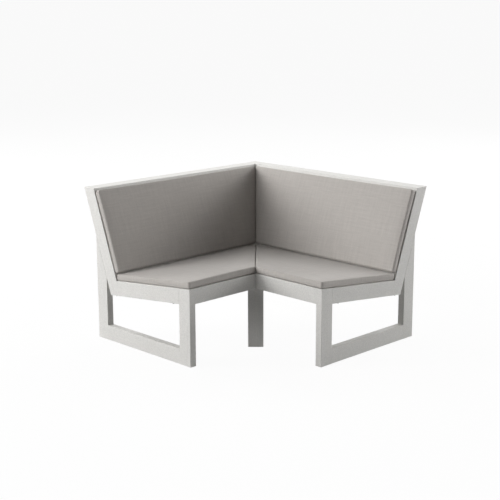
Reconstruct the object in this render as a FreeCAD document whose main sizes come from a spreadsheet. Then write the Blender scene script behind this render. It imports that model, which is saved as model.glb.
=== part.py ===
import FreeCAD, Part
import math
import os
import re

import Sketcher

# A corner sofa module: two equal arms meet on a diagonal.
# Each arm has a board frame, slats and loose cushions.
# +Z is up, and the origin is on the floor under the middle of the outline. The rear corner is at -X, +Y.
# The right arm runs along +X with its back at +Y. The left arm is its mirror image in the diagonal plane.
# A board's side view is drawn as (distance forward from the back plane, height).

V = FreeCAD.Vector
ROOT2 = "sqrt(2)"

# Driving dimensions, in millimetres, degrees and counts
SIZES = {
    "arm_length": 1210,
    "frame_depth": 747,
    "overall_height": 820,
    "seat_front_height": 405,
    "seat_slope": 6,
    "back_rake": 20,
    "post_front_at_seat": 165,
    "board_thickness": 38,
    "edge_radius": 2,
    "leg_width": 81,
    "runner_height": 81,
    "rail_width": 81,
    "post_width": 78,
    "apron_height": 82,
    "top_rail_height": 38,
    "corner_leg_width": 82,
    "corner_leg_setback": 10,
    "seat_slat_count": 5,
    "back_slat_count": 4,
    "slat_width": 88,
    "slat_thickness": 22,
    "slat_edge_radius": 3,
    "cleat_width": 25,
    "cleat_depth": 25,
    "cleat_end_gap": 30,
    "joist_corner_gap": 64,
    "joist_thickness": 30,
    "joist_height": 50,
    "tenon_thickness": 12,
    "tenon_width": 30,
    "tenon_length": 50,
    "tenon_inset": 9,
    "tenon_clearance": 0.1,
    "tenon_end_gap": 1,
    "scarf_tenon_rise": 65,
    "corner_tenon_offset": 16,
    "bolt_diameter": 8,
    "bolt_head_width": 13,
    "bolt_head_height": 5.5,
    "bolt_clearance": 0.1,
    "bolt_end_gap": 2,
    "link_bolt_length": 45,
    "link_bolt_rear_inset": 50,
    "link_bolt_front_inset": 60,
    "corner_bolt_length": 70,
    "corner_bolt_rise": 12,
    "corner_bolt_pitch": 26,
    "seat_cushion_thickness": 36,
    "seat_cushion_crown": 6,
    "seat_cushion_rear_gap": 4,
    "seat_cushion_front_inset": 2,
    "back_cushion_thickness": 36,
    "back_cushion_crown": 5,
    "back_cushion_rise": 42,
    "back_cushion_top_drop": 15,
    "cushion_end_inset": 2,
    "cushion_mitre_gap": 4,
    "cushion_rest_gap": 0.4,
    "cushion_corner_radius": 8,
    "cushion_edge_round": 7,
    "cushion_draw_in": 3,
    "crown_flat": 40,
    "cover_thickness": 2,
    "core_gap": 0.5,
}

# Places that follow from the driving dimensions
DERIVED = {
    "slope_factor": "1 + tan(back_rake) * tan(seat_slope)",
    "seat_rear_height": "seat_front_height - (frame_depth - post_front_at_seat) * tan(seat_slope)",
    "rail_drop": "rail_width / cos(seat_slope)",
    "post_span": "post_width / cos(back_rake)",
    "foot_front": "post_front_at_seat + tan(back_rake) * rail_drop / slope_factor",
    "foot_front_height": "seat_rear_height + (foot_front - post_front_at_seat) * tan(seat_slope) - rail_drop",
    "foot_back": "foot_front - post_span / slope_factor",
    "foot_back_height": "foot_front_height - (foot_front - foot_back) * tan(seat_slope)",
    "top_front": "post_front_at_seat - (overall_height - seat_rear_height) * tan(back_rake)",
    "top_back": "top_front - post_span",
    "top_rail_shift": "top_rail_height * tan(back_rake)",
    "apex_height": "seat_rear_height + (post_front_at_seat - post_span - leg_width) / tan(back_rake)",
    "kink_height": "apex_height + leg_width / tan(back_rake)",
    "centre_shift": "(arm_length + top_back) / 2",
    "block_reach": "2 * arm_length",
    "leg_line": "frame_depth - leg_width",
    "end_inner_face": "arm_length - board_thickness",
    "apron_back": "frame_depth - board_thickness",
    "apron_bottom": "seat_front_height - apron_height",
    "seat_run": "(apron_back - post_front_at_seat) / cos(seat_slope)",
    "seat_slat_gap": "(seat_run - seat_slat_count * slat_width) / (seat_slat_count + 1)",
    "back_run": "(overall_height - top_rail_height - seat_rear_height) / cos(back_rake)",
    "back_slat_gap": "(back_run - back_slat_count * slat_width) / (back_slat_count + 1)",
    "link_bolt_rear": "foot_front - link_bolt_rear_inset",
    "link_bolt_front": "leg_line - link_bolt_front_inset",
    "tenon_middle": "tenon_inset + tenon_width / 2",
    "slat_drop": "slat_thickness / cos(seat_slope)",
    "joist_drop": "slat_drop + joist_height / cos(seat_slope)",
    "beam_half": "board_thickness / 2",
    "beam_half_plan": "beam_half / sqrt(2)",
    "joist_position": "apron_back + sqrt(2) * beam_half + joist_corner_gap",
    "corner_leg_rear": "sqrt(2) * frame_depth - corner_leg_setback - board_thickness",
    "rear_leg_back": "corner_leg_width / 2",
    "beam_rear": "rear_leg_back + board_thickness",
    "beam_front": "sqrt(2) * apron_back + beam_half",
    "beam_rear_bottom": "apron_bottom - (corner_leg_rear - beam_rear) / sqrt(2) * tan(seat_slope)",
    "hip_foot_front": "post_front_at_seat + (slope_factor - 1) * beam_half_plan / slope_factor",
    "hip_foot_back": "hip_foot_front - (post_span - beam_half_plan) / slope_factor",
    "hip_lower_plan": "post_front_at_seat - post_span - (beam_rear - beam_half) / sqrt(2)",
    "hip_lower": "seat_rear_height + hip_lower_plan / tan(back_rake)",
    "hip_upper": "hip_lower + board_thickness / sqrt(2) / tan(back_rake)",
    "hip_top_front": "sqrt(2) * (top_front + top_rail_shift)",
    "hip_top_back": "sqrt(2) * (top_back + top_rail_shift) + beam_half",
}

# Directions of the drawing planes: side view, diagonal view and the view along the diagonal
HALF = math.sqrt(0.5)
SIDE_VIEW = FreeCAD.Rotation(V(0, -1, 0), V(0, 0, 1), V(-1, 0, 0), "XYZ")
DIAGONAL_VIEW = FreeCAD.Rotation(V(HALF, -HALF, 0), V(0, 0, 1), V(-HALF, -HALF, 0), "XYZ")
ACROSS_VIEW = FreeCAD.Rotation(V(HALF, HALF, 0), V(0, 0, 1), V(HALF, -HALF, 0), "XYZ")
ALONG_X = V(1, 0, 0)
ALONG_Y = V(0, 1, 0)
ALONG_Z = V(0, 0, 1)
ALONG_MITRE = V(1, 1, 0)

# An angle that keeps a turned item's axis until the sheet gives its own angle
FIRST_ANGLE = 45
# Edges count as parallel when their cross product is below this share of their length
PARALLEL = 1e-6

# Shares of a cushion's edge rounding: rise or drop from the flat face, then inset from the side
LOWER_EDGE = [(0, 0.75), (0.2, 0.3), (0.65, 0)]
UPPER_EDGE = [(1, 0), (0.35, 0.3), (0, 1)]
# Shares of its crown: height, then reach in from the edge
CROWN_STEPS = [(0.55, 0.33), (0.9, 0.67), (1, 1)]
# Flat facets along each drawn-in side of a cushion
SIDE_FACETS = 4

doc = FreeCAD.newDocument("corner_sofa")
sheet = doc.addObject("Spreadsheet::Sheet", "sizes")
ALIASES = re.compile(r"\b(" + "|".join(sorted([*SIZES, *DERIVED], key=len, reverse=True)) + r")\b")
nodes = {}


def fill_sheet():
    """Writes the driving dimensions, then the places worked out from them."""
    cells = {name: str(value) for name, value in SIZES.items()}
    cells.update({name: "=" + formula for name, formula in DERIVED.items()})
    for row, (name, content) in enumerate(cells.items(), 1):
        sheet.set(f"A{row}", name)
        sheet.set(f"B{row}", content)
        sheet.setAlias(f"B{row}", name)
    doc.recompute()


def size(name):
    return float(sheet.get(name))


def bind(item, prop, formula):
    item.setExpression(prop, ALIASES.sub(r"sizes.\1", formula))


def place(item, x, y, z):
    """Binds a place that is given from the rear corner to the origin in the middle."""
    bind(item, "Placement.Base.x", f"({x}) - centre_shift")
    bind(item, "Placement.Base.y", f"({y}) + centre_shift")
    bind(item, "Placement.Base.z", f"{z}")


def turn(item, axis, angle):
    """Turns an item about an axis by an angle that follows the sheet."""
    item.Placement = FreeCAD.Placement(V(), FreeCAD.Rotation(axis, FIRST_ANGLE))
    bind(item, "Placement.Rotation.Angle", angle)


def seat_line(forward):
    """Height of the seat plane at a distance from the back plane."""
    return f"(seat_rear_height + (({forward}) - post_front_at_seat) * tan(seat_slope))"


def post_line(height):
    """Distance of the back posts' front edge from the back plane at a height."""
    return f"(post_front_at_seat - (({height}) - seat_rear_height) * tan(back_rake))"


def long_edges(shape, direction):
    """Names of the edges that run along a board."""
    names = []
    for index, edge in enumerate(shape.Edges, 1):
        run = edge.Vertexes[-1].Point - edge.Vertexes[0].Point
        if run.Length > 0 and run.cross(direction).Length < PARALLEL * run.Length:
            names.append(f"Edge{index}")
    return names


def board(name, points, thickness, grain=None, radius="edge_radius"):
    """A body padded from an outline, with the edges along its grain eased."""
    body = doc.addObject("PartDesign::Body", name)
    sketch = body.newObject("Sketcher::SketchObject", name + "_outline")
    plane = next(item for item in body.Origin.OriginFeatures if item.Role == "XY_Plane")
    sketch.AttachmentSupport = [(plane, "")]
    sketch.MapMode = "FlatFace"
    count = len(points)
    start = [V(math.cos(2 * math.pi * i / count), math.sin(2 * math.pi * i / count), 0) for i in range(count)]
    for i in range(count):
        sketch.addGeometry(Part.LineSegment(start[i], start[(i + 1) % count]))
    for i in range(count):
        sketch.addConstraint(Sketcher.Constraint("Coincident", i, 2, (i + 1) % count, 1))
    for i, point in enumerate(points):
        for kind, formula in zip(("DistanceX", "DistanceY"), point):
            index = sketch.addConstraint(Sketcher.Constraint(kind, -1, 1, i, 1, 1.0))
            bind(sketch, f"Constraints[{index}]", formula)
    pad = body.newObject("PartDesign::Pad", name + "_pad")
    pad.Profile = sketch
    bind(pad, "Length", thickness)
    doc.recompute()
    if grain is not None:
        ease = body.newObject("PartDesign::Fillet", name + "_eased")
        ease.Base = (pad, long_edges(pad.Shape, grain))
        bind(ease, "Radius", radius)
    return body


def side_board(name, points, thickness, face, grain=None):
    """A board drawn in side view that runs from a face towards the other arm."""
    body = board(name, points, thickness, grain)
    body.Placement = FreeCAD.Placement(V(), SIDE_VIEW)
    place(body, face, "0", "0")
    return body


def diagonal_board(name, points, thickness, grain):
    """A board drawn in the diagonal plane and centred on it."""
    body = board(name, points, thickness, grain)
    body.Placement = FreeCAD.Placement(V(), DIAGONAL_VIEW)
    place(body, f"({thickness}) / 2 / {ROOT2}", f"({thickness}) / 2 / {ROOT2}", "0")
    return body


def seat_board(name, points, thickness, depth, grain=None):
    """A board lying in the seat plane, with its top this deep below the plane."""
    body = board(name, points, thickness, grain, "slat_edge_radius")
    turn(body, ALONG_X, "-seat_slope")
    below = f"(({depth}) + ({thickness}))"
    place(
        body,
        "0",
        f"-post_front_at_seat - {below} * sin(seat_slope)",
        f"seat_rear_height - {below} * cos(seat_slope)",
    )
    return body


def back_board(name, points, thickness, depth, grain=None):
    """A board in the raked back, with its front face this deep behind the posts' front edges."""
    body = board(name, points, thickness, grain, "slat_edge_radius")
    turn(body, ALONG_X, "90 - back_rake")
    behind = f"(({depth}) + ({thickness}))"
    place(
        body,
        "0",
        f"-post_front_at_seat + {behind} * cos(back_rake)",
        f"seat_rear_height - {behind} * sin(back_rake)",
    )
    return body


def rectangle(x0, y0, x1, y1):
    return [(x0, y0), (x1, y0), (x1, y1), (x0, y1)]


def cut(name, base, tool):
    result = doc.addObject("Part::Cut", name)
    result.Base = base
    result.Tool = tool
    return result


def group(name, items):
    result = doc.addObject("Part::Compound", name)
    result.Links = items
    return result


def mirrored(name, source):
    """The left arm's copy of a right-hand item."""
    result = doc.addObject("Part::Mirroring", name)
    result.Source = source
    result.Base = V(0, 0, 0)
    result.Normal = ALONG_MITRE
    return result


def keep(name, item):
    item.Label = name
    nodes[name] = item


def keep_pair(name, item):
    """Keeps a right-hand piece and its mirror image."""
    keep("right_" + name, item)
    keep("left_" + name, mirrored("left_" + name + "_mirror", item))


def diagonal_point(out, across):
    """Plan place of a point on or beside the diagonal."""
    return f"(({out}) + ({across})) / {ROOT2}", f"(({across}) - ({out})) / {ROOT2}"


def half_space(name, offset):
    """A block that removes what lies past a plane beside the diagonal."""
    block = doc.addObject("Part::Box", name)
    turn(block, ALONG_Z, "-45")
    bind(block, "Length", "2 * block_reach")
    bind(block, "Width", "block_reach")
    bind(block, "Height", "block_reach")
    place(block, *diagonal_point("-block_reach / 2", f"({offset}) - block_reach"), "-block_reach / 4")
    return block


def tenon_blocks(name, dims, base_of, axis, angle):
    """A loose tenon and the mortise that takes half of it in each board."""
    blocks = []
    for part, rooms in (("", 0), ("_mortise", 2)):
        lengths = []
        for dim in dims:
            room = "tenon_end_gap" if dim == "tenon_length" else "tenon_clearance"
            lengths.append(f"({dim} + {rooms} * {room})")
        block = doc.addObject("Part::Box", name + part)
        for prop, length in zip(("Length", "Width", "Height"), lengths):
            bind(block, prop, length)
        turn(block, axis, angle)
        place(block, *base_of(*[f"{length} / 2" for length in lengths]))
        blocks.append(block)
    return blocks


def arm_tenon(name, along, forward, height, dims, lean="0"):
    """A tenon in the right arm, centred on a point and leaning back by an angle."""

    def base(half_x, half_y, half_z):
        return (
            f"({along}) - {half_x}",
            f"-({forward}) - ({half_y} * cos({lean}) + {half_z} * sin({lean}))",
            f"({height}) - ({half_z} * cos({lean}) - {half_y} * sin({lean}))",
        )

    return tenon_blocks(name, dims, base, ALONG_X, f"-({lean})")


def side_tenon(name, forward, height, lean="0"):
    """A tenon between two boards of an end frame."""
    middle = "arm_length - board_thickness / 2"
    return arm_tenon(name, middle, forward, height, ("tenon_thickness", "tenon_length", "tenon_width"), lean)


def corner_tenon(name, out, across, height, dims):
    """A tenon square to the diagonal, centred on a point."""

    def base(half_x, half_y, half_z):
        return *diagonal_point(f"({out}) - {half_x}", f"({across}) - {half_y}"), f"({height}) - {half_z}"

    return tenon_blocks(name, dims, base, ALONG_Z, "-45")


def bolt(name, length, start, axis, angle):
    """A hexagon-head bolt whose head stands on a face at its start, and its hole."""
    head = doc.addObject("Part::Prism", name + "_head")
    head.Polygon = 6
    bind(head, "Circumradius", "bolt_head_width / sqrt(3)")
    bind(head, "Height", "bolt_head_height")
    bind(head, "Placement.Base.z", "-bolt_head_height")
    shank = doc.addObject("Part::Cylinder", name + "_shank")
    bind(shank, "Radius", "bolt_diameter / 2")
    bind(shank, "Height", length)
    whole = doc.addObject("Part::Fuse", name)
    whole.Base = head
    whole.Tool = shank
    hole = doc.addObject("Part::Cylinder", name + "_hole")
    bind(hole, "Radius", "bolt_diameter / 2 + bolt_clearance")
    bind(hole, "Height", f"({length}) + bolt_end_gap")
    for item in (whole, hole):
        turn(item, axis, angle)
        place(item, *start)
    return whole, hole


def end_frame_boards():
    """The five boards of the right end frame, still without their joint holes."""
    slope = V(1, math.tan(math.radians(size("seat_slope"))), 0)
    rake = V(-math.tan(math.radians(size("back_rake"))), 1, 0)
    outlines = {
        "front_leg": (
            [
                ("leg_line", "0"),
                ("frame_depth", "0"),
                ("frame_depth", "seat_front_height"),
                ("leg_line", seat_line("leg_line")),
            ],
            ALONG_Y,
        ),
        "runner": (rectangle("leg_width", "0", "leg_line", "runner_height"), ALONG_X),
        "rear_leg": (
            [("0", "0"), ("leg_width", "0"), ("leg_width", "apex_height"), ("0", "kink_height")],
            ALONG_Y,
        ),
        "seat_rail": (
            [
                ("foot_front", "foot_front_height"),
                ("leg_line", f"{seat_line('leg_line')} - rail_drop"),
                ("leg_line", seat_line("leg_line")),
                ("post_front_at_seat", "seat_rear_height"),
            ],
            slope,
        ),
        "back_post": (
            [
                ("foot_back", "foot_back_height"),
                ("foot_front", "foot_front_height"),
                ("top_front", "overall_height"),
                ("top_back", "overall_height"),
            ],
            rake,
        ),
    }
    return {
        name: side_board(name + "_board", points, "board_thickness", "arm_length", grain)
        for name, (points, grain) in outlines.items()
    }


def long_boards(mitre, beam_face):
    """The right apron, top rail and rear seat rail, cut to the diagonal."""
    apron = side_board(
        "front_apron_board",
        [
            ("apron_back", "apron_bottom"),
            ("frame_depth", "apron_bottom"),
            ("frame_depth", "seat_front_height"),
            ("apron_back", seat_line("apron_back")),
        ],
        "end_inner_face - apron_back",
        "end_inner_face",
        ALONG_Z,
    )
    underside = "overall_height - top_rail_height"
    top_rail = side_board(
        "top_rail_board",
        [
            ("top_back + top_rail_shift", underside),
            ("top_front + top_rail_shift", underside),
            ("top_front", "overall_height"),
            ("top_back", "overall_height"),
        ],
        "end_inner_face - top_back",
        "end_inner_face",
        ALONG_Z,
    )
    back_x = "board_thickness * cos(back_rake)"
    back_z = "board_thickness * sin(back_rake)"
    rear_rail = side_board(
        "rear_seat_rail_board",
        [
            (f"foot_front - {back_x}", f"foot_front_height - {back_z}"),
            ("foot_front", "foot_front_height"),
            ("post_front_at_seat", "seat_rear_height"),
            (f"post_front_at_seat - {back_x}", f"seat_rear_height - {back_z}"),
        ],
        "end_inner_face",
        "end_inner_face",
        ALONG_Z,
    )
    return {
        "front_apron": cut("front_apron_mitred", apron, mitre),
        "top_rail": cut("top_rail_mitred", top_rail, mitre),
        "rear_seat_rail": cut("rear_seat_rail_mitred", rear_rail, beam_face),
    }


def corner_boards():
    """The legs, beam and back post that stand on the diagonal."""
    inner_leg = board(
        "inner_corner_leg_board",
        rectangle("-corner_leg_width / 2", "0", "corner_leg_width / 2", "apron_bottom"),
        "board_thickness",
        ALONG_Y,
    )
    inner_leg.Placement = FreeCAD.Placement(V(), ACROSS_VIEW)
    place(inner_leg, *diagonal_point("corner_leg_rear", "0"), "0")
    rear_leg = diagonal_board(
        "rear_corner_leg_board",
        [
            ("rear_leg_back", "0"),
            ("beam_rear", "0"),
            ("beam_rear", "hip_lower"),
            ("rear_leg_back", "hip_upper"),
        ],
        "corner_leg_width",
        ALONG_Y,
    )
    slope = V(1, HALF * math.tan(math.radians(size("seat_slope"))), 0)
    beam = diagonal_board(
        "corner_seat_beam_board",
        [
            ("beam_rear", "beam_rear_bottom"),
            ("corner_leg_rear", "apron_bottom"),
            ("beam_front", "apron_bottom"),
            ("beam_front", seat_line(f"(beam_front - beam_half) / {ROOT2}")),
            ("beam_rear", seat_line(f"(beam_rear - beam_half) / {ROOT2}")),
        ],
        "board_thickness",
        slope,
    )
    notch = doc.addObject("Part::Box", "apron_corner_notch")
    bind(notch, "Length", "board_thickness")
    bind(notch, "Width", "board_thickness")
    bind(notch, "Height", "2 * apron_height")
    place(notch, "apron_back", "-frame_depth", "apron_bottom - apron_height / 2")
    hip = V(-math.tan(math.radians(size("back_rake"))) / HALF, 1, 0)
    underside = "overall_height - top_rail_height"
    back_post = diagonal_board(
        "corner_back_post_board",
        [
            (f"hip_foot_back * {ROOT2}", seat_line("hip_foot_back - beam_half_plan")),
            (f"hip_foot_front * {ROOT2}", seat_line("hip_foot_front - beam_half_plan")),
            ("hip_top_front", underside),
            ("hip_top_back", underside),
        ],
        "board_thickness",
        hip,
    )
    return {
        "inner_corner_leg": inner_leg,
        "rear_corner_leg": rear_leg,
        "corner_seat_beam": cut("corner_seat_beam_notched", beam, notch),
        "corner_back_post": back_post,
    }


def arm_tenons():
    """Loose tenons of the right arm with their mortises."""
    rail_front = f"{seat_line('leg_line')} - rail_drop / 2"
    rail_rear = "seat_rear_height - tenon_middle * cos(back_rake)"
    scarf_forward = "leg_width - scarf_tenon_rise * sin(back_rake)"
    scarf_height = "apex_height + scarf_tenon_rise * cos(back_rake)"
    top_middle = "overall_height - top_rail_height / 2"
    behind = "board_thickness / 2"
    foot_height = "foot_front_height + tenon_middle * cos(back_rake)"
    foot_forward = f"{post_line(foot_height)} - {behind} * cos(back_rake)"
    upright = ("tenon_length", "tenon_thickness", "tenon_width")
    flat = ("tenon_length", "tenon_width", "tenon_thickness")
    peg = ("tenon_thickness", "tenon_thickness", "tenon_length")
    hip = ("tenon_width", "tenon_thickness", "tenon_length")
    corner_out = f"({ROOT2} * (apron_back + frame_depth) + corner_tenon_offset - corner_leg_setback) / 2"
    hip_out = "(hip_top_front + hip_top_back) / 2"
    apron_forward = "frame_depth - board_thickness / 2"
    apron_middle = "seat_front_height - apron_height / 2"
    rail_forward = f"{post_line(top_middle)} - post_span / 2"
    foot_level = f"{foot_height} - {behind} * sin(back_rake)"
    return [
        side_tenon("runner_front_tenon", "leg_line", "runner_height / 2"),
        side_tenon("runner_rear_tenon", "leg_width", "runner_height / 2"),
        side_tenon("rail_front_tenon", "leg_line", rail_front),
        side_tenon("rail_rear_tenon", post_line(rail_rear), rail_rear, "back_rake"),
        side_tenon("scarf_tenon", scarf_forward, scarf_height, "back_rake"),
        arm_tenon("apron_tenon", "end_inner_face", apron_forward, apron_middle, upright),
        arm_tenon("top_rail_tenon", "end_inner_face", rail_forward, top_middle, flat),
        arm_tenon("rear_rail_tenon", "end_inner_face", foot_forward, foot_level, upright, "back_rake"),
        corner_tenon("corner_leg_tenon", corner_out, "corner_tenon_offset", "apron_bottom", peg),
        corner_tenon("hip_tenon", hip_out, "board_thickness / 4", "overall_height - top_rail_height", hip),
    ]


def corner_tenons():
    """Loose tenons of the boards on the diagonal with their mortises."""
    beam_middle = f"({seat_line(f'(beam_rear - beam_half) / {ROOT2}')} + beam_rear_bottom) / 2"
    foot_out = f"{ROOT2} * (hip_foot_front + hip_foot_back) / 2"
    foot_height = seat_line(f"({foot_out} - beam_half) / {ROOT2}")
    level = ("tenon_length", "tenon_thickness", "tenon_width")
    upright = ("tenon_width", "tenon_thickness", "tenon_length")
    return [
        corner_tenon("beam_tenon", "beam_rear", "0", beam_middle, level),
        corner_tenon("hip_foot_tenon", foot_out, "0", foot_height, upright),
    ]


def link_bolts():
    """Bolts under the right seat rail, square to its sloping edge."""
    middle = "arm_length - board_thickness / 2"
    pairs = []
    for name in ("link_bolt_rear", "link_bolt_front"):
        start = (middle, f"-{name}", f"{seat_line(name)} - rail_drop")
        pairs.append(bolt(name + "_screw", "link_bolt_length", start, ALONG_X, "-seat_slope"))
    return pairs


def corner_bolts():
    """Bolts through the rear corner leg into the corner back post."""
    pairs = []
    for number, rise in enumerate(("corner_bolt_rise", "corner_bolt_rise + corner_bolt_pitch"), 1):
        start = (*diagonal_point("rear_leg_back", "0"), f"hip_lower + {rise}")
        pairs.append(bolt(f"corner_bolt_{number}", "corner_bolt_length", start, ALONG_MITRE, "90"))
    return pairs


def seat_slats(beam_face):
    """Seat slats, their cleats and the joist under them."""
    for number in range(1, int(size("seat_slat_count")) + 1):
        near = f"({number} * seat_slat_gap + {number - 1} * slat_width)"
        points = rectangle("0", f"-{near} - slat_width", "end_inner_face", f"-{near}")
        slat = seat_board(f"seat_slat_{number}_board", points, "slat_thickness", "0", ALONG_X)
        keep_pair(f"seat_slat_{number}", cut(f"seat_slat_{number}_mitred", slat, beam_face))
    far = "(seat_run - cleat_end_gap)"
    points = rectangle("end_inner_face - cleat_width", f"-{far}", "end_inner_face", "-cleat_end_gap")
    keep_pair("seat_end_cleat", seat_board("seat_end_cleat_board", points, "cleat_depth", "slat_thickness"))
    outer = f"post_front_at_seat + {ROOT2} * (beam_half + cleat_width)"
    points = [
        (f"post_front_at_seat + {far} * cos(seat_slope)", f"-{far}"),
        (f"{outer} + {far} * cos(seat_slope)", f"-{far}"),
        (f"{outer} + cleat_end_gap * cos(seat_slope)", "-cleat_end_gap"),
        ("post_front_at_seat + cleat_end_gap * cos(seat_slope)", "-cleat_end_gap"),
    ]
    cleat = seat_board("seat_corner_cleat_board", points, "cleat_depth", "slat_thickness")
    keep_pair("seat_corner_cleat", cut("seat_corner_cleat_mitred", cleat, beam_face))
    rear = "post_front_at_seat + tan(back_rake) * {0} / slope_factor"
    joist = side_board(
        "seat_joist_board",
        [
            (rear.format("joist_drop"), f"{seat_line(rear.format('joist_drop'))} - joist_drop"),
            ("apron_back", f"{seat_line('apron_back')} - joist_drop"),
            ("apron_back", f"{seat_line('apron_back')} - slat_drop"),
            (rear.format("slat_drop"), f"{seat_line(rear.format('slat_drop'))} - slat_drop"),
        ],
        "joist_thickness",
        "joist_position + joist_thickness / 2",
    )
    keep_pair("seat_joist", joist)


def back_slats(beam_face):
    """Back slats and their cleats."""
    for number in range(1, int(size("back_slat_count")) + 1):
        low = f"({number} * back_slat_gap + {number - 1} * slat_width)"
        points = rectangle("top_back", low, "end_inner_face", f"{low} + slat_width")
        slat = back_board(f"back_slat_{number}_board", points, "slat_thickness", "0", ALONG_X)
        keep_pair(f"back_slat_{number}", cut(f"back_slat_{number}_mitred", slat, beam_face))
    far = "(back_run - cleat_end_gap)"
    points = rectangle("end_inner_face - cleat_width", "cleat_end_gap", "end_inner_face", far)
    keep_pair("back_end_cleat", back_board("back_end_cleat_board", points, "cleat_depth", "slat_thickness"))
    inner = "post_front_at_seat - (slat_thickness + cleat_depth) / cos(back_rake)"
    outer = f"post_front_at_seat + {ROOT2} * (beam_half + cleat_width) - slat_thickness * cos(back_rake)"
    points = [
        (f"{inner} - cleat_end_gap * sin(back_rake)", "cleat_end_gap"),
        (f"{outer} - cleat_end_gap * sin(back_rake)", "cleat_end_gap"),
        (f"{outer} - {far} * sin(back_rake)", far),
        (f"{inner} - {far} * sin(back_rake)", far),
    ]
    cleat = back_board("back_corner_cleat_board", points, "cleat_depth", "slat_thickness")
    keep_pair("back_corner_cleat", cut("back_corner_cleat_mitred", cleat, beam_face))


def soft_outline(corners, height, radius, draw_in):
    """Points of a closed outline whose corners are eased and whose sides are drawn in between them."""
    count = len(corners)
    rounds = []
    for i in range(count):
        here = corners[i]
        to_last = (corners[i - 1] - here).normalize()
        to_next = (corners[(i + 1) % count] - here).normalize()
        half = to_last.getAngle(to_next) / 2
        reach = radius / math.tan(half)
        bisector = (to_last + to_next).normalize()
        middle = here + bisector * (radius / math.sin(half) - radius)
        rounds.append((here + to_last * reach, middle, here + to_next * reach))
    points = []
    for i in range(count):
        end = rounds[i][-1]
        side = rounds[(i + 1) % count][0] - end
        inward = V(0, 0, 1).cross(side) * draw_in
        points += rounds[i]
        for step in range(1, SIDE_FACETS):
            share = step / SIDE_FACETS
            points.append(end + side * share + inward * (4 * share * (1 - share)))
    return [point + V(0, 0, height) for point in points]


def flat_face(points):
    return Part.Face(Part.makePolygon([*points, points[0]]))


def flat_loft(outlines):
    """A ruled loft of flat faces; the outlines' matching sides are parallel."""
    faces = [flat_face(outlines[0]), flat_face(outlines[-1])]
    for lower, upper in zip(outlines, outlines[1:]):
        faces += [flat_face([lower[i - 1], lower[i], upper[i], upper[i - 1]]) for i in range(len(lower))]
    shell = Part.Shell(faces)
    shell.sewShape()
    return Part.Solid(shell)


def pad_solid(near, far, lean, rise, thickness, crown, shrink):
    """A crowned pad lofted through outlines; its inner end follows the diagonal plane."""
    inner_end = size("post_front_at_seat") + size("cushion_mitre_gap") / 2 * math.sqrt(2)
    outer_end = size("arm_length") - size("cushion_end_inset")
    edge = size("cushion_edge_round")
    draw_in = size("cushion_draw_in") / outer_end
    side_factor = math.sqrt(1 + lean**2)
    across = (far - near - size("crown_flat")) / 2
    along = (outer_end - inner_end - lean * near - size("crown_flat")) / (1 + side_factor + lean)
    reach = min(across, along) - edge
    top = thickness - shrink
    levels = [(shrink + rise_share * edge, inset_share * edge) for rise_share, inset_share in LOWER_EDGE]
    levels += [(top - drop_share * edge, inset_share * edge) for drop_share, inset_share in UPPER_EDGE]
    levels += [(top + crown_share * crown, edge + run * reach) for crown_share, run in CROWN_STEPS]
    outlines = []
    for height, level_inset in levels:
        inset = level_inset + shrink
        ends = (near + inset, far - inset)
        mitre = [inner_end + lean * y + rise * height + inset * side_factor for y in ends]
        corners = [
            V(mitre[0], ends[0], 0),
            V(outer_end - inset, ends[0], 0),
            V(outer_end - inset, ends[1], 0),
            V(mitre[1], ends[1], 0),
        ]
        outlines.append(soft_outline(corners, height, size("cushion_corner_radius"), draw_in))
    return flat_loft(outlines)


def cushion(name, placement, *form):
    """A sewn cover and the foam core that rests in it."""
    wall = size("cover_thickness")
    outside = pad_solid(*form, 0)
    cover = doc.addObject("Part::Feature", name + "_cover_shape")
    cover.Shape = outside.cut(pad_solid(*form, wall))
    core = doc.addObject("Part::Feature", name + "_core_shape")
    foam = pad_solid(*form, wall + size("core_gap"))
    foam.translate(V(0, 0, -size("core_gap")))
    core.Shape = foam
    for part, item in (("cover", cover), ("core", core)):
        item.Placement = placement
        keep_pair(f"{name}_{part}", item)


def cushions():
    """Seat and back cushions of both arms."""
    slope = math.radians(size("seat_slope"))
    rake = math.radians(size("back_rake"))
    shift = size("centre_shift")
    post = size("post_front_at_seat")
    rest = size("cushion_rest_gap")
    seat_rear = size("seat_rear_height")
    seat_normal = V(0, math.sin(slope), math.cos(slope))
    back_normal = V(0, -math.cos(rake), math.sin(rake))
    corner = V(-shift, shift - post, seat_rear)
    seat_front = (size("frame_depth") - size("seat_cushion_front_inset") - post) / math.cos(slope)
    cushion(
        "seat_cushion",
        FreeCAD.Placement(corner + seat_normal * rest, FreeCAD.Rotation(ALONG_X, -size("seat_slope"))),
        -seat_front,
        -size("seat_cushion_rear_gap"),
        -math.cos(slope),
        -math.sin(slope),
        size("seat_cushion_thickness"),
        size("seat_cushion_crown"),
    )
    back_top = (size("overall_height") - size("back_cushion_top_drop") - seat_rear) / math.cos(rake)
    cushion(
        "back_cushion",
        FreeCAD.Placement(corner + back_normal * rest, FreeCAD.Rotation(ALONG_X, 90 - size("back_rake"))),
        size("back_cushion_rise"),
        back_top,
        -math.sin(rake),
        math.cos(rake),
        size("back_cushion_thickness"),
        size("back_cushion_crown"),
    )


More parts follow.
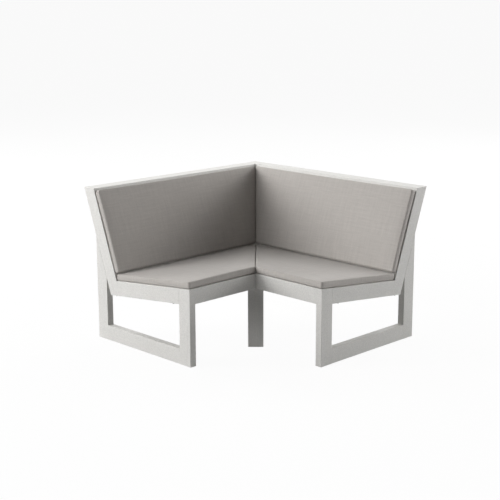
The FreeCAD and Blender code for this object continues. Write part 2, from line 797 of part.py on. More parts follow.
def build():
    fill_sheet()
    mitre = half_space("mitre_plane_block", "0")
    beam_face = half_space("beam_face_block", "beam_half")
    arm_pins = arm_tenons()
    corner_pins = corner_tenons()
    links = link_bolts()
    corners = corner_bolts()
    arm_holes = group("arm_holes", [hole for _, hole in arm_pins + links])
    corner_holes = group("corner_holes", [hole for _, hole in corner_pins + corners])
    left_holes = mirrored("left_holes", arm_holes)
    all_holes = group("all_holes", [arm_holes, left_holes, corner_holes])
    for name, item in {**end_frame_boards(), **long_boards(mitre, beam_face)}.items():
        keep_pair(name, cut(name + "_drilled", item, arm_holes))
    for name, item in corner_boards().items():
        keep(name, cut(name + "_drilled", item, all_holes))
    seat_slats(beam_face)
    back_slats(beam_face)
    arm_group = group("arm_tenons", [pin for pin, _ in arm_pins])
    link_group = group("arm_links", [pin for pin, _ in links])
    corner_group = group("corner_tenons", [pin for pin, _ in corner_pins])
    keep("tenons", group("all_tenons", [arm_group, mirrored("left_tenons", arm_group), corner_group]))
    keep("link_bolts", group("all_links", [link_group, mirrored("left_links", link_group)]))
    keep("corner_bolts", group("corner_bolt_pair", [pin for pin, _ in corners]))
    cushions()
    doc.recompute()


def check():
    """Stops if any object failed or any piece is not a sound solid."""
    for item in doc.Objects:
        if "Invalid" in item.State or "Error" in item.State:
            raise RuntimeError(f"{item.Name} failed: {item.State}")
    groups = ("tenons", "link_bolts", "corner_bolts")
    for name, item in nodes.items():
        if item.Shape.isNull() or not item.Shape.isValid():
            raise RuntimeError(f"{name} has no sound shape")
        if name not in groups and len(item.Shape.Solids) != 1:
            raise RuntimeError(f"{name} has {len(item.Shape.Solids)} solids")


def write():
    os.makedirs("parts", exist_ok=True)
    for name, item in nodes.items():
        solids = item.Shape.Solids
        shape = solids[0] if len(solids) == 1 else Part.makeCompound(solids)
        shape.exportStep(f"parts/{name}.step")


build()
check()
write()
print(len(nodes), "pieces written")
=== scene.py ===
import math
from dataclasses import dataclass

import bmesh
import bpy
import numpy as np
from mathutils import Matrix, Vector


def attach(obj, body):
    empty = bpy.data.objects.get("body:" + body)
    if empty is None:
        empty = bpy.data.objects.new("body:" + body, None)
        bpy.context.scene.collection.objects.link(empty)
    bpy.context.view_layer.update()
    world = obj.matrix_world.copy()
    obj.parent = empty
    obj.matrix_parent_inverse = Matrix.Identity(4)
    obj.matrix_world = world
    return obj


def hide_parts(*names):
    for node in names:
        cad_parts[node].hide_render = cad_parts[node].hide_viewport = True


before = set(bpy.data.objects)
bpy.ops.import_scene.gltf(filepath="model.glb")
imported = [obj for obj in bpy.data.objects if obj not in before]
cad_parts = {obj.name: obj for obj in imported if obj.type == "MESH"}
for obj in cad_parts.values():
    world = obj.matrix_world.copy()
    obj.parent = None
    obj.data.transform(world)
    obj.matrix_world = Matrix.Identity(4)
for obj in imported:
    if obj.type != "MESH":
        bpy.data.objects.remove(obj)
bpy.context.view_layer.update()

# Sizes of the solids that the soft pieces and the screws fit, in metres and radians
ARM = 1.210
DEPTH = 0.747
HEIGHT = 0.820
SEAT_FRONT = 0.405
POST = 0.165
POST_WIDTH = 0.078
BOARD = 0.038
SLOPE = math.radians(6)
RAKE = math.radians(20)
BACK_TILT = math.pi / 2 - RAKE
SLAT = 0.022
SLAT_WIDTH = 0.088
CLEAT = 0.025
TOP_RAIL = 0.038
SEAT_SLATS = 5
BACK_SLATS = 4
REST = 0.0004
SEAT_REAR = SEAT_FRONT - (DEPTH - POST) * math.tan(SLOPE)
POST_SPAN = POST_WIDTH / math.cos(RAKE)
TOP_BACK = POST - (HEIGHT - SEAT_REAR) * math.tan(RAKE) - POST_SPAN
SHIFT = (ARM + TOP_BACK) / 2
ROOT2 = math.sqrt(2)
# Where the right arm's seat plane meets its back plane, at the corner's end
ARM_BASE = Vector((-SHIFT, SHIFT - POST, SEAT_REAR))
# The left arm is the right one mirrored in the diagonal
MIRROR = Matrix(((0, -1, 0, 0), (-1, 0, 0, 0), (0, 0, 1, 0), (0, 0, 0, 1)))


# Materials


class Value:
    """A shader socket that takes part in Python expressions."""

    def __init__(self, graph, socket):
        self.graph = graph
        self.socket = socket

    def math(self, operation, *others):
        return self.graph.node("ShaderNodeMath", {"operation": operation}, [self, *others])

    def output(self, key):
        return Value(self.graph, self.socket.node.outputs[key])

    def __add__(self, other):
        return self.math("ADD", other)

    def __sub__(self, other):
        return self.math("SUBTRACT", other)

    def __mul__(self, other):
        return self.math("MULTIPLY", other)

    def __rsub__(self, other):
        return self.graph.node("ShaderNodeMath", {"operation": "SUBTRACT"}, [other, self])

    __radd__ = __add__
    __rmul__ = __mul__


class Graph:
    """A node tree whose nodes are added by one method."""

    def __init__(self, tree):
        self.tree = tree
        tree.nodes.clear()

    def node(self, kind, settings=None, inputs=None, output=0):
        item = self.tree.nodes.new(kind)
        for key, value in (settings or {}).items():
            setattr(item, key, value)
        given = inputs or {}
        pairs = given.items() if isinstance(given, dict) else enumerate(given)
        for key, value in pairs:
            if isinstance(value, Value):
                self.tree.links.new(value.socket, item.inputs[key])
            else:
                item.inputs[key].default_value = value
        return Value(self, item.outputs[output]) if item.outputs else None

    def noise(self, vector, scale=1.0, detail=2.0, roughness=0.5):
        inputs = {"Vector": vector, "Scale": scale, "Detail": detail, "Roughness": roughness}
        return self.node("ShaderNodeTexNoise", {}, inputs)

    def vector(self, x, y, z):
        return self.node("ShaderNodeCombineXYZ", {}, [x, y, z])

    def dot(self, vector, other):
        inputs = [vector, other if isinstance(other, Value) else tuple(other)]
        return self.node("ShaderNodeVectorMath", {"operation": "DOT_PRODUCT"}, inputs, "Value")

    def grain(self, place, *runs):
        """Noise drawn out by three directions, each given with its scale."""
        return self.noise(self.vector(*(self.dot(place, way) * scale for way, scale in runs)), detail=3.0)

    def tint(self, colour, tone):
        """A colour made lighter or darker by a varying tone."""
        return self.node("ShaderNodeVectorMath", {"operation": "SCALE"}, {"Vector": colour, "Scale": tone})

    def mix(self, factor, first, second):
        """A colour between two; a colour mix takes its inputs and gives its result by number."""
        settings = {"data_type": "RGBA"}
        return self.node("ShaderNodeMix", settings, {0: factor, 6: first, 7: second}, 2)

    def bump(self, height, strength, distance):
        inputs = {"Strength": strength, "Distance": distance, "Height": height}
        return self.node("ShaderNodeBump", {}, inputs)

    def finish(self, **sockets):
        """The surface shader; names are the shader's own with underscores for spaces."""
        inputs = {key.replace("_", " "): value for key, value in sockets.items()}
        shader = self.node("ShaderNodeBsdfPrincipled", {}, inputs)
        self.node("ShaderNodeOutputMaterial", {}, {"Surface": shader})


def new_material(name):
    material = bpy.data.materials.new(name)
    material.use_nodes = True
    return material, Graph(material.node_tree)


def place_of(graph):
    return graph.node("ShaderNodeTexCoord", {}, {}, "Object")


def lumber(name, grain):
    """Matte poly lumber: fine flecks, faint lines along the board, a soft mottle, and edges painted lighter,
    partly as rubbed wear and partly as a painted highlight.
    """
    material, g = new_material(name)
    along = Vector(grain).normalized()
    side = along.orthogonal().normalized()
    up = along.cross(side)
    place = place_of(g)
    lines = g.grain(place, (side, 260), (up, 260), (along, 5))
    flecks = g.noise(place, scale=210, detail=3.0, roughness=0.65)
    speckle = g.noise(place, scale=560, roughness=0.7)
    grit = g.noise(place, scale=1500, detail=1.0)
    mottle = g.noise(place, scale=7)
    # The turned normal differs from the face's own only near an edge
    eased = g.node("ShaderNodeBevel", {"samples": 4}, {"Radius": 0.004})
    flat = g.node("ShaderNodeNewGeometry", {}, {}, "Normal")
    edge_nearness = 1 - g.dot(eased, flat)
    # Edges are painted lighter and a little glossier: partly rubbed wear, partly a painted highlight of light
    # catching the eased edge
    edge_wear_and_highlight = (edge_nearness * 4 * (flecks + 0.3)).math("MINIMUM", 1.0)
    tone = 0.555 + lines * 0.07 + flecks * 0.46 + speckle * 0.30 + mottle * 0.06 + edge_wear_and_highlight * 0.05
    height = flecks * 0.5 + speckle * 0.5 + grit * 0.35 + lines * 0.4
    g.finish(
        Base_Color=g.tint((0.70, 0.69, 0.665), tone),
        Roughness=0.5 + speckle * 0.22 - edge_wear_and_highlight * 0.08,
        Specular_IOR_Level=0.35,
        Normal=g.bump(height, strength=0.16, distance=0.0007),
    )
    return material


YARN_PITCH = 0.0012
WARP_COLOUR = (0.520, 0.492, 0.463, 1)
WEFT_COLOUR = (0.480, 0.453, 0.428, 1)


def fabric():
    """Plain-woven heathered cloth; its map is in metres along the yarns."""
    material, g = new_material("cushion_fabric")
    cloth = g.node("ShaderNodeSeparateXYZ", {}, [g.node("ShaderNodeUVMap", {"uv_map": "weave"})])
    across = cloth * (1 / YARN_PITCH)
    along = cloth.output(1) * (1 / YARN_PITCH)
    warp_wave = (across * math.pi).math("SINE")
    weft_wave = (along * math.pi).math("SINE")
    over = warp_wave * weft_wave * 0.5 + 0.5
    warp = warp_wave.math("ABSOLUTE") * (over * 0.6 + 0.4)
    weft = weft_wave.math("ABSOLUTE") * (1 - over * 0.6)
    yarns = warp.math("MAXIMUM", weft)

    def streaks(pace, drift, layers, detail, roughness):
        """Noise drawn out along the warp and along the weft, each in a layer of its own."""
        warp_place = g.vector(across * pace, along * drift, layers[0])
        weft_place = g.vector(across * drift, along * pace, layers[1])
        return [g.noise(at, detail=detail, roughness=roughness) for at in (warp_place, weft_place)]

    warp_tone, weft_tone = streaks(0.45, 0.012, (0.0, 7.0), detail=3.0, roughness=0.7)
    warp_slub, weft_slub = streaks(0.11, 0.006, (3.0, 9.0), detail=2.0, roughness=0.6)
    mottle = g.noise(place_of(g), scale=6)
    yarn_tone = warp_tone * 0.26 + weft_tone * 0.26 + warp_slub * 0.16 + weft_slub * 0.16
    # The weave is painted darker where the yarns sink, a painted shade in the hollows between them
    tone = yarn_tone + yarns * 0.16 + mottle * 0.05 + 0.44
    height = yarns + warp_tone * 0.3 + weft_tone * 0.3
    g.finish(
        Base_Color=g.tint(g.mix(over, WARP_COLOUR, WEFT_COLOUR), tone),
        Roughness=0.82 + warp_tone * 0.14,
        Specular_IOR_Level=0.2,
        Sheen_Weight=0.12,
        Sheen_Roughness=0.5,
        Normal=g.bump(height, strength=0.35, distance=0.0004),
    )
    return material


def steel():
    """Dark plated steel with a fine drawn finish."""
    material, g = new_material("plated_steel")
    place = place_of(g)
    drawn = g.noise(place, scale=900, roughness=0.6)
    patch = g.noise(place, scale=60)
    g.finish(
        Base_Color=g.tint((0.23, 0.225, 0.22), 0.8 + drawn * 0.2 + patch * 0.2),
        Metallic=1.0,
        Roughness=0.32 + patch * 0.2,
        Normal=g.bump(drawn, strength=0.1, distance=0.0002),
    )
    return material


def hardwood():
    """Plain straight-grained wood of the loose tenons."""
    material, g = new_material("tenon_wood")
    grain = g.grain(place_of(g), ((1, 0, 0), 40), ((0, 1, 0), 40), ((0, 0, 1), 300))
    g.finish(
        Base_Color=g.tint((0.56, 0.38, 0.22), 0.75 + grain * 0.5),
        Roughness=0.6 + grain * 0.1,
        Normal=g.bump(grain, strength=0.2, distance=0.0005),
    )
    return material


def zip_coil():
    """Moulded polyester zip teeth."""
    material, g = new_material("zip_teeth")
    speckle = g.noise(place_of(g), scale=700)
    g.finish(
        Base_Color=g.tint((0.20, 0.19, 0.18), 0.85 + speckle * 0.3),
        Roughness=0.38 + speckle * 0.12,
        Normal=g.bump(speckle, strength=0.08, distance=0.0002),
    )
    return material


# Boards

UPRIGHT = (0, 0, 1)
ALONG_ARM = (1, 0, 0)
UP_SEAT = (0, -math.cos(SLOPE), math.sin(SLOPE))
UP_BACK = (0, math.sin(RAKE), math.cos(RAKE))
UP_SEAT_CORNER = (1, -1, math.tan(SLOPE))
UP_BACK_CORNER = (-1, 1, 1 / math.tan(RAKE))
# Right-hand directions of the boards' grain; a left-hand board mirrors its partner's
GRAINS = {
    "front_leg": UPRIGHT,
    "rear_leg": UPRIGHT,
    "runner": (0, 1, 0),
    "seat_rail": UP_SEAT,
    "back_post": UP_BACK,
    "seat_end_cleat": UP_SEAT,
    "back_end_cleat": UP_BACK,
    "seat_joist": UP_SEAT,
    "seat_corner_cleat": UP_SEAT_CORNER,
    "back_corner_cleat": UP_BACK_CORNER,
}
CORNER_GRAINS = {
    "inner_corner_leg": UPRIGHT,
    "rear_corner_leg": UPRIGHT,
    "corner_seat_beam": UP_SEAT_CORNER,
    "corner_back_post": UP_BACK_CORNER,
}


def dress_boards():
    """Gives its finish to every carried-over solid that is not part of a cushion."""
    made = {}
    finishes = {"tenons": hardwood(), "link_bolts": STEEL, "corner_bolts": STEEL}
    for name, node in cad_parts.items():
        if "cushion" in name:
            continue
        material = finishes.get(name)
        if material is None:
            side, _, kind = name.partition("_")
            grain = CORNER_GRAINS.get(name) or GRAINS.get(kind, ALONG_ARM)
            if side == "left":
                grain = (-grain[1], -grain[0], grain[2])
            key = tuple(round(c, 3) for c in grain)
            if key not in made:
                made[key] = lumber(f"lumber_{len(made) + 1}", grain)
            material = made[key]
        node.data.materials.clear()
        node.data.materials.append(material)


# Meshes

SAME = 1e-6
SHARP = math.radians(40)


def bevel(bm, edges, offset, segments):
    return bmesh.ops.bevel(
        bm,
        geom=list(edges),
        offset=offset,
        offset_type="OFFSET",
        affect="EDGES",
        segments=segments,
        profile=0.5,
        material=-1,
    )


def block(bm, size, place, round_by, segments):
    """Adds a block with eased edges to a mesh under construction."""
    matrix = Matrix.Translation(place) @ Matrix.Diagonal((*size, 1))
    made = bmesh.ops.create_cube(bm, size=1.0, matrix=matrix)
    bevel(bm, {edge for vert in made["verts"] for edge in vert.link_edges}, round_by, segments)


def smooth_object(bm, name, material):
    """Turns a finished mesh under construction into a smooth object at the origin."""
    mesh = bpy.data.meshes.new(name)
    bm.to_mesh(mesh)
    bm.free()
    mesh.polygons.foreach_set("use_smooth", np.ones(len(mesh.polygons), bool))
    mesh.materials.append(material)
    item = bpy.data.objects.new(name, mesh)
    bpy.context.scene.collection.objects.link(item)
    return item


def piece(bm, name, material):
    """A hard piece, smooth but for its sharp edges."""
    bmesh.ops.recalc_face_normals(bm, faces=bm.faces)
    item = smooth_object(bm, name, material)
    item.data.set_sharp_from_angle(angle=SHARP)
    return item


# Cushions, in metres

PAD_THICKNESS = 0.036
PAD_INSET = 0.002
MITRE_INSET = 0.0009
PAD_INNER = POST + MITRE_INSET * ROOT2
PAD_OUTER = ARM - PAD_INSET
BACK_PAD_DROP = 0.015
UPPER_ROUND = 0.006
RIM_SEGMENTS = 4
CORNER_SEGMENTS = 5
SEAM_WIDTH = 0.0013
SEAM_DEPTH = 0.0011
SEAM_SEGMENTS = 2
# The grid that lets the cover bend: first cut from an edge, step, and heights round the boxing
GRID_START = 0.022
GRID_STEP = 0.012
BOXING_CUTS = (0.0135, 0.0195, 0.0255)
CUT_REACH = 1e-5
MERGE_REACH = 0.0003
PANEL_NORMAL = 0.7
# The blown-up cover
CLOTH = {
    "quality": 4,
    "mass": 0.3,
    "tension_stiffness": 20,
    "compression_stiffness": 20,
    "bending_stiffness": 2,
    "use_pressure": True,
    "uniform_pressure_force": 4,
    "vertex_group_mass": "held",
}
LAST_FRAME = 20
FULLNESS = 3
# How the filled cover strays from its block; the powers keep a belly to its side and its ends
SIDE_BULGE = 0.0014
SIDE_POWER = 9
END_POWER = 60
DRAW_IN = 0.0025
RIM_LIFT = 0.0022
RIM_WIDTH = 0.070
UNEVEN = 0.0007
WAVES = 7
WAVE_LENGTHS = (0.11, 0.34)
FIRST_SEED = 12


@dataclass
class Pad:
    """A boxed pad in its own plane: x along the arm, y across it and z off the face that it rests on.

    Places are also given as shares: u from the mitred end to the outer one, v from the near side to the far one.
    """

    near: float
    far: float
    lean: float
    rise: float
    tilt: float
    crown: float
    lower_round: float
    drawn_near: bool
    near_bulge: float
    corner_cuts: dict
    zip_far: bool
    zip_height: float

    def start(self, y, height):
        """Where the mitred end stands at one place across the pad."""
        return PAD_INNER + self.lean * y + self.rise * height

    def at(self, u, v, height):
        y = self.near + v * (self.far - self.near)
        start = self.start(y, height)
        return Vector((start + u * (PAD_OUTER - start), y, height))

    def shares(self, place):
        start = self.start(place.y, place.z)
        u = (place.x - start) / (PAD_OUTER - start)
        return u, (place.y - self.near) / (self.far - self.near)

    def belly(self, height):
        """How far the boxing's belly has come out at one height, from none to one."""
        boxing = PAD_THICKNESS - self.lower_round - UPPER_ROUND
        return math.sin(math.pi * min(max((height - self.lower_round) / boxing, 0), 1))

    def to_part(self, side):
        """The move from the pad's plane to the part's frame, mirrored for the left arm."""
        move = Matrix.Translation(ARM_BASE) @ Matrix.Rotation(self.tilt, 4, "X")
        move = move @ Matrix.Translation((0, 0, REST))
        return MIRROR @ move if side == "left" else move


SEAT_PAD = Pad(
    near=-(DEPTH - PAD_INSET - POST) / math.cos(SLOPE),
    far=-0.0065,
    lean=-math.cos(SLOPE),
    rise=-math.sin(SLOPE),
    tilt=-SLOPE,
    crown=0.006,
    lower_round=0.006,
    drawn_near=True,
    near_bulge=SIDE_BULGE,
    corner_cuts={(0, 0): 0.006, (1, 0): 0.012, (1, 1): 0.006, (0, 1): 0.030},
    zip_far=True,
    zip_height=0.018,
)
BACK_PAD = Pad(
    near=0.042,
    far=(HEIGHT - BACK_PAD_DROP - SEAT_REAR) / math.cos(RAKE),
    lean=-math.sin(RAKE),
    rise=math.cos(RAKE),
    tilt=BACK_TILT,
    crown=0.005,
    lower_round=0.0078,
    drawn_near=False,
    near_bulge=0.0075,
    corner_cuts={(0, 0): 0.010, (1, 0): 0.007, (1, 1): 0.015, (0, 1): 0.019},
    zip_far=False,
    zip_height=0.0095,
)


def sewn_rim(bm, height, rounding):
    """Rounds the rim of one panel and sinks its seam half-way round the turn."""
    rim = [e for e in bm.edges if all(abs(v.co.z - height) < SAME for v in e.verts)]
    made = set(bevel(bm, rim, rounding, RIM_SEGMENTS)["verts"])
    level = {v for v in made if abs(v.co.z - height) < SAME}
    passed = set(level)
    for _ in range(RIM_SEGMENTS // 2):
        level = {e.other_vert(v) for v in level for e in v.link_edges} & made - passed
        passed |= level
    seam = [e for e in bm.edges if all(v in level for v in e.verts)]
    made = set(bevel(bm, seam, SEAM_WIDTH, SEAM_SEGMENTS)["verts"])
    bm.normal_update()
    sunk = [v for v in made if all(e.other_vert(v) in made for e in v.link_edges)]
    moves = [v.normal * SEAM_DEPTH for v in sunk]
    for vert, move in zip(sunk, moves):
        vert.co -= move


def cuts(length):
    """Shares of a side at which the cloth's grid is cut."""
    run = length - 2 * GRID_START
    count = round(run / GRID_STEP)
    return [(GRID_START + n * run / count) / length for n in range(count + 1)]


def pad_block(pad):
    """The closed cover before it is filled: rounded corners, two sewn rims and a grid of cuts."""
    bm = bmesh.new()
    top = PAD_THICKNESS
    for vert in bmesh.ops.create_cube(bm, size=1.0)["verts"]:
        vert.co = pad.at(vert.co.x > 0, vert.co.y > 0, top if vert.co.z > 0 else 0.0)
    for (u, v), cut in pad.corner_cuts.items():
        ends = [pad.at(u, v, height) for height in (0.0, top)]
        at_ends = {w for w in bm.verts if any((w.co - end).length < SAME for end in ends)}
        bevel(bm, [e for e in bm.edges if at_ends.issuperset(e.verts)], cut, CORNER_SEGMENTS)
    sewn_rim(bm, 0.0, pad.lower_round)
    sewn_rim(bm, top, UPPER_ROUND)
    mean = (pad.at(1, 0, 0).x - pad.at(0, 0, 0).x + pad.at(1, 1, 0).x - pad.at(0, 1, 0).x) / 2
    planes = [(pad.at(u, 0, 0), pad.at(u, 1, 0), pad.at(u, 0, top)) for u in cuts(mean)]
    planes += [(pad.at(0, v, 0), pad.at(1, v, 0), pad.at(0, v, top)) for v in cuts(pad.far - pad.near)]
    planes += [[Vector((x, y, z)) for x, y in ((0, 0), (1, 0), (0, 1))] for z in BOXING_CUTS]
    for a, b, c in planes:
        geom = bm.verts[:] + bm.edges[:] + bm.faces[:]
        normal = (b - a).cross(c - a).normalized()
        bmesh.ops.bisect_plane(bm, geom=geom, dist=CUT_REACH, plane_co=a, plane_no=normal)
    bmesh.ops.remove_doubles(bm, verts=bm.verts, dist=MERGE_REACH)
    bm.normal_update()
    bm.verts.index_update()
    return bm


def map_weave(bm):
    """Lays the cloth's map in metres along the yarns of each panel and of the boxing."""
    layer = bm.loops.layers.uv.new("weave")
    for face in bm.faces:
        n = face.normal
        for loop in face.loops:
            x, y, z = loop.vert.co
            if abs(n.z) > PANEL_NORMAL:
                loop[layer].uv = (x, y if n.z > 0 else -y)
            else:
                loop[layer].uv = (x if abs(n.y) > abs(n.x) else y, z)


def is_loose(vert):
    """Whether a point lies on the upper panel, clear of its seam."""
    around = [vert, *(e.other_vert(vert) for e in vert.link_edges)]
    return all(abs(v.co.z - PAD_THICKNESS) < SAME for v in around)


def filled_rise(pad, bm):
    """How far the filling lifts each point of the upper panel."""
    loose = np.array([is_loose(v) for v in bm.verts])
    rise = inflate(bm, np.flatnonzero(~loose).tolist()) * loose
    rise = np.clip(rise / rise.max(), 0, 1)
    return (1 - np.exp(-FULLNESS * rise)) / (1 - math.exp(-FULLNESS)) * pad.crown


def inflate(bm, held):
    """Blows up a copy of the cover with its seams, sides and lower panel held."""
    mesh = bpy.data.meshes.new("cover_trial")
    bm.to_mesh(mesh)
    item = bpy.data.objects.new("cover_trial", mesh)
    scene = bpy.context.scene
    scene.collection.objects.link(item)
    item.vertex_groups.new(name="held").add(held, 1.0, "REPLACE")
    cloth = item.modifiers.new("cloth", "CLOTH")
    for key, value in CLOTH.items():
        setattr(cloth.settings, key, value)
    cloth.settings.effector_weights.gravity = 0
    cloth.point_cache.frame_start = 1
    cloth.point_cache.frame_end = LAST_FRAME
    for number in range(1, LAST_FRAME + 1):
        scene.frame_set(number)
    blown = item.evaluated_get(bpy.context.evaluated_depsgraph_get()).to_mesh()
    rise = np.array([v.co.z for v in blown.vertices]) - np.array([v.co.z for v in bm.verts])
    scene.frame_set(1)
    bpy.data.objects.remove(item)
    bpy.data.meshes.remove(mesh)
    return np.maximum(rise, 0)


def slow_waves(seed):
    """Long crossing waves, each by its pace along x, its pace along y and its phase."""
    random = np.random.default_rng(seed)
    waves = []
    for _ in range(WAVES):
        angle, phase = random.uniform(0, 2 * math.pi, 2)
        pace = 2 * math.pi / random.uniform(*WAVE_LENGTHS)
        waves.append((pace * math.cos(angle), pace * math.sin(angle), phase))
    return waves


def uneven(place, waves):
    """Slow unevenness of stuffed cloth."""
    return sum(math.sin(place.x * a + place.y * b + c) for a, b, c in waves) / len(waves)


def shape_cover(pad, bm, rise, seed):
    """Lifts the crown and the lower rim, draws the shown sides in and bellies the boxing."""
    waves = slow_waves(seed)
    width = pad.far - pad.near
    for vert, lift in zip(bm.verts, rise):
        u, v = pad.shares(vert.co)
        belly = pad.belly(vert.co.z)
        outer = max(2 * u - 1, 0)
        near = max(1 - 2 * v, 0)
        far = max(2 * v - 1, 0)
        inward = near if pad.drawn_near else -far
        edge = max(min((1 - u) * ARM, v * width, (1 - v) * width, u * ARM), 0)
        curl = RIM_LIFT * max(1 - edge / RIM_WIDTH, 0) ** 2 * (1 - vert.co.z / PAD_THICKNESS)
        move = Vector((DRAW_IN * 4 * v * (1 - v) * -u, DRAW_IN * 4 * u * (1 - u) * inward, lift + curl))
        move.x += SIDE_BULGE * belly * outer**SIDE_POWER
        move.y += SIDE_BULGE * belly * far**SIDE_POWER
        move.y -= pad.near_bulge * belly * near**SIDE_POWER * (1 - outer**END_POWER)
        move.z += UNEVEN * lift / pad.crown * uneven(vert.co, waves)
        vert.co += move


def cover_piece(pad, bm, name, side):
    """The filled cover in its place, rounded by subdivision."""
    bmesh.ops.transform(bm, matrix=pad.to_part(side), verts=bm.verts)
    if side == "left":
        bmesh.ops.reverse_faces(bm, faces=bm.faces)
    item = smooth_object(bm, name, FABRIC)
    smooth = item.modifiers.new("rounded", "SUBSURF")
    smooth.levels = 1
    smooth.render_levels = 1
    return item


# The zips, in metres: sizes are along the zip, out of the boxing and up it
ZIP_SHARE = 0.72
TAPE_OUT = 0.0004
LIP_SPREAD = 0.0042
LIP_SECTION = (0.0036, 0.0046)
LIP_ROUND = 0.0013
TOOTH_PITCH = 0.0026
TOOTH_SIZE = (0.0017, 0.0030, 0.0032)
TOOTH_STAGGER = 0.0005
TOOTH_ROUND = 0.0004
TEETH_LEFT_OUT = 4
SLIDER_INSET = 0.016
# Body, bridge and tab of the slider: place along the zip, place out of the boxing, size and rounding
SLIDER_BLOCKS = (
    (0.0, 0.0020, (0.0105, 0.0026, 0.0080), 0.0011),
    (-0.002, 0.0034, (0.0050, 0.0014, 0.0030), 0.0005),
    (-0.014, 0.0029, (0.0220, 0.0012, 0.0056), 0.0005),
)


def zip_pieces(pad, name, side):
    """A closed zip along the hidden boxing: two folded lips, the teeth and a slider with its tab."""
    height = pad.zip_height
    outward = 1 if pad.zip_far else -1
    a, b = (pad.at(u, 1 if pad.zip_far else 0, height) for u in (0, 1))
    length = (b.x - a.x) * ZIP_SHARE
    middle = (a.x + b.x) / 2
    # The zip lies on the slope of the boxing's belly
    bulge = SIDE_BULGE if pad.zip_far else pad.near_bulge
    face = a.y + outward * bulge * pad.belly(height)
    slope = bulge * (pad.belly(height + LIP_SPREAD) - pad.belly(height - LIP_SPREAD)) / (2 * LIP_SPREAD)
    seated = Matrix.Translation((0, face, height)) @ Matrix.Rotation(-outward * math.atan(slope), 4, "X")

    def add(bm, x, out, up, size, round_by, segments=2):
        block(bm, size, (x, outward * out, up), round_by, segments)

    lips = bmesh.new()
    for up in (-LIP_SPREAD, LIP_SPREAD):
        add(lips, middle, TAPE_OUT, up, (length, *LIP_SECTION), LIP_ROUND)
    map_weave(lips)
    teeth = bmesh.new()
    count = int(length / TOOTH_PITCH) - TEETH_LEFT_OUT
    for n in range(count):
        x = middle - count * TOOTH_PITCH / 2 + n * TOOTH_PITCH
        up = TOOTH_STAGGER if n % 2 else -TOOTH_STAGGER
        add(teeth, x, TAPE_OUT, up, TOOTH_SIZE, TOOTH_ROUND, segments=1)
    slider = bmesh.new()
    x = middle + length / 2 - SLIDER_INSET
    for along, out, size, round_by in SLIDER_BLOCKS:
        add(slider, x + along, out, 0, size, round_by)
    for bm, part, material in ((lips, "lips", FABRIC), (teeth, "teeth", TEETH), (slider, "slider", STEEL)):
        bmesh.ops.transform(bm, matrix=pad.to_part(side) @ seated, verts=bm.verts)
        item = piece(bm, f"{name}_zip_{part}", material)
        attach(item, name)
        "bolt_steel" if part == "slider" else "cushion_fabric"


def cushions():
    """The four loose cushions with their zips; left and right share a filling and differ in unevenness."""
    seed = FIRST_SEED
    for kind, pad in (("seat", SEAT_PAD), ("back", BACK_PAD)):
        empty = pad_block(pad)
        rise = filled_rise(pad, empty)
        map_weave(empty)
        for side in ("left", "right"):
            body = f"{side}_{kind}_cushion"
            cover = empty.copy()
            shape_cover(pad, cover, rise, seed)
            seed += 1
            item = cover_piece(pad, cover, body + "_pad", side)
            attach(item, body)
            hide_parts(body + "_cover", body + "_core")
            zip_pieces(pad, body, side)
        empty.free()


# Screws, in metres

HEAD_RADIUS = 0.0042
HEAD_HEIGHT = 0.0024
HEAD_SIDES = 12
HEAD_ROUND = 0.0016
HEAD_SEGMENTS = 3
SOCKET_WALL = 0.0006
SOCKET_DEPTH = 0.0013


def top_face(bm):
    return max(bm.faces, key=lambda f: f.calc_center_median().z)


def screw_head():
    """A button head with a hexagon socket, standing on the level z = 0."""
    bm = bmesh.new()
    bmesh.ops.create_cone(
        bm,
        cap_ends=True,
        segments=HEAD_SIDES,
        radius1=HEAD_RADIUS,
        radius2=HEAD_RADIUS,
        depth=HEAD_HEIGHT,
        matrix=Matrix.Translation((0, 0, HEAD_HEIGHT / 2)),
    )
    bevel(bm, top_face(bm).edges, HEAD_ROUND, HEAD_SEGMENTS)
    crown = top_face(bm)
    bmesh.ops.inset_region(bm, faces=[crown], thickness=SOCKET_WALL)
    # Every second corner comes in to the middle of a hexagon's side
    for n, vert in enumerate(crown.verts):
        vert.co.xy *= math.cos(math.pi / 6) if n % 2 else 1
    socket = bmesh.ops.extrude_face_region(bm, geom=[crown])["geom"]
    bmesh.ops.delete(bm, geom=[crown], context="FACES_ONLY")
    sunk = [v for v in socket if isinstance(v, bmesh.types.BMVert)]
    bmesh.ops.translate(bm, vec=(0, 0, -SOCKET_DEPTH), verts=sunk)
    return bm


def add_screw(bm, head, place, normal):
    """Adds a copy of the head to a mesh under construction, standing on a face."""
    turn = normal.to_track_quat("Z", "Y").to_matrix().to_4x4()
    placed = head.copy()
    bmesh.ops.transform(placed, matrix=Matrix.Translation(place) @ turn, verts=placed.verts)
    mesh = bpy.data.meshes.new("screw")
    placed.to_mesh(mesh)
    placed.free()
    bm.from_mesh(mesh)
    bpy.data.meshes.remove(mesh)


def slat_screws():
    """Screws through the cleats into every slat, seen from behind and below."""
    bm = bmesh.new()
    head = screw_head()
    seat_run = -(DEPTH - BOARD - POST) / math.cos(SLOPE)
    back_run = (HEIGHT - TOP_RAIL - SEAT_REAR) / math.cos(RAKE)
    end = ARM - BOARD - CLEAT / 2 - SHIFT
    corner = ROOT2 * (BOARD / 2 + CLEAT / 2)
    depth = SLAT + CLEAT
    for count, run, tilt in ((SEAT_SLATS, seat_run, -SLOPE), (BACK_SLATS, back_run, BACK_TILT)):
        y_axis = Vector((0, math.cos(tilt), math.sin(tilt)))
        normal = Vector((0, -math.sin(tilt), math.cos(tilt)))
        gap = (abs(run) - count * SLAT_WIDTH) / (count + 1)
        for n in range(count):
            y = math.copysign((n + 1) * gap + (n + 0.5) * SLAT_WIDTH, run)
            place = ARM_BASE + y_axis * y - normal * depth
            for x in (end, corner - place.y):
                at = Vector((x, place.y, place.z))
                add_screw(bm, head, at, -normal)
                add_screw(bm, head, MIRROR @ at, MIRROR @ -normal)
    head.free()
    item = piece(bm, "slat_screws", STEEL)
    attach(item, "frame")


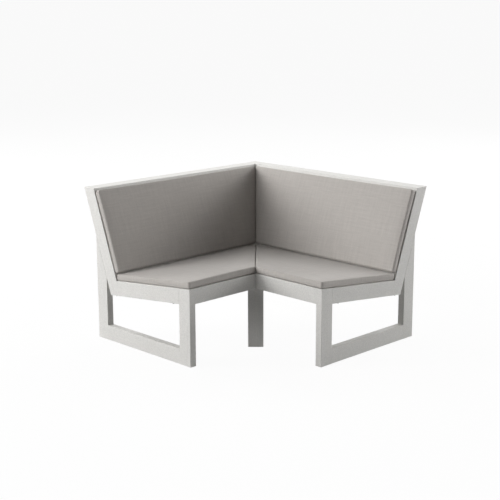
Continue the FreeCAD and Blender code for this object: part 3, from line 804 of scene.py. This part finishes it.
# The camera that was fitted to the photograph: pixels, arm lengths, then degrees and radians
PHOTO_SIZE = 500
FOCAL_LENGTH = 1133.8856
CENTRE_SHIFT = -5.5808
CAMERA_REACH = 5.6208
CAMERA_HEIGHT = 1.5321
CAMERA_TURN = 45
CAMERA_DIP = 12.9704
CAMERA_ROLL = -0.0019
SENSOR = 36.0


def camera():
    """The camera at the photograph's place, turn and field."""
    data = bpy.data.cameras.new("camera")
    data.sensor_fit = "HORIZONTAL"
    data.sensor_width = SENSOR
    data.lens = SENSOR * FOCAL_LENGTH / PHOTO_SIZE
    data.shift_x = CENTRE_SHIFT / PHOTO_SIZE
    item = bpy.data.objects.new("camera", data)
    distance = CAMERA_REACH * ARM / ROOT2 - SHIFT
    turn = Matrix.Rotation(math.radians(CAMERA_TURN), 4, "Z")
    turn = turn @ Matrix.Rotation(math.radians(90 - CAMERA_DIP), 4, "X")
    turn = turn @ Matrix.Rotation(CAMERA_ROLL, 4, "Z")
    item.matrix_world = Matrix.Translation((distance, -distance, CAMERA_HEIGHT * ARM)) @ turn
    bpy.context.scene.collection.objects.link(item)
    bpy.context.scene.camera = item


# The studio: floor, backdrop and lamps
FLOOR_REACH = 400.0
FLOOR_DROP = 0.0006
FLOOR_GREY = (0.36, 0.36, 0.36, 1)
FLOOR_PALE = (0.85, 0.85, 0.85, 1)
WHITE = (1, 1, 1, 1)
WHITE_SHARE = 0.95
AMBIENT = 0.004
LAMP_SIZE = 4.5
LAMP_DISTANCE = 9.0
LAMP_AIM = Vector((0, 0, 0.5))
# Turn from +X and elevation in degrees, and power in watts, of each soft lamp
LAMPS = {
    "key": (-175, 26, 482.0),
    "left": (-125, 18, 444.0),
    "left_high": (-125, 38, 115.0),
    "front": (-100, 17, 177.0),
    "right": (38, 14, 248.0),
    "right_front": (8, 24, 41.0),
    "right_rear": (70, 14, 335.0),
    "rear": (100, 20, 229.0),
    "rear_top": (135, 42, 190.0),
}


def backdrop_share(graph):
    """One for rays that show the background: from the camera, a reflection or a clear surface."""
    path = graph.node("ShaderNodeLightPath", {}, {}, "Is Camera Ray")
    glossy, clear = (path.output(kind) for kind in ("Is Glossy Ray", "Is Transmission Ray"))
    return path.math("MAXIMUM", glossy).math("MAXIMUM", clear)


def studio():
    """A white floor and backdrop, and soft lamps."""
    bm = bmesh.new()
    level = Matrix.Translation((0, 0, -FLOOR_DROP))
    bmesh.ops.create_grid(bm, x_segments=1, y_segments=1, size=FLOOR_REACH, matrix=level)
    material, g = new_material("floor")
    grey = g.node("ShaderNodeBsdfDiffuse", {}, {"Color": FLOOR_GREY})
    pale = g.node("ShaderNodeBsdfDiffuse", {}, {"Color": FLOOR_PALE})
    white = g.node("ShaderNodeEmission", {}, {"Color": WHITE, "Strength": 1.0})
    # What the camera meets keeps a faint share of the lit floor, and with it the sofa's shadow
    seen = g.node("ShaderNodeMixShader", {}, [WHITE_SHARE, pale, white])
    shown = g.node("ShaderNodeMixShader", {}, [backdrop_share(g), grey, seen])
    g.node("ShaderNodeOutputMaterial", {}, {"Surface": shown})
    piece(bm, "floor", material)
    world = bpy.data.worlds.new("studio")
    world.use_nodes = True
    g = Graph(world.node_tree)
    dim = g.node("ShaderNodeBackground", {}, {"Color": WHITE, "Strength": AMBIENT})
    white = g.node("ShaderNodeBackground", {}, {"Color": WHITE, "Strength": 1.0})
    shown = g.node("ShaderNodeMixShader", {}, [backdrop_share(g), dim, white])
    g.node("ShaderNodeOutputWorld", {}, {"Surface": shown})
    bpy.context.scene.world = world
    for name, (turn, elevation, power) in LAMPS.items():
        data = bpy.data.lights.new(name, "AREA")
        data.shape = "DISK"
        data.size = LAMP_SIZE
        data.energy = power
        item = bpy.data.objects.new(name, data)
        raised = Matrix.Rotation(math.radians(-elevation), 3, "Y") @ Vector((1, 0, 0))
        away = Matrix.Rotation(math.radians(turn), 3, "Z") @ raised
        item.location = away * LAMP_DISTANCE + LAMP_AIM
        item.rotation_euler = away.to_track_quat("Z", "Y").to_euler()
        bpy.context.scene.collection.objects.link(item)


STEEL = steel()
TEETH = zip_coil()
FABRIC = fabric()
dress_boards()
cushions()
slat_screws()
studio()
camera()
bpy.context.scene.view_settings.view_transform = "Standard"
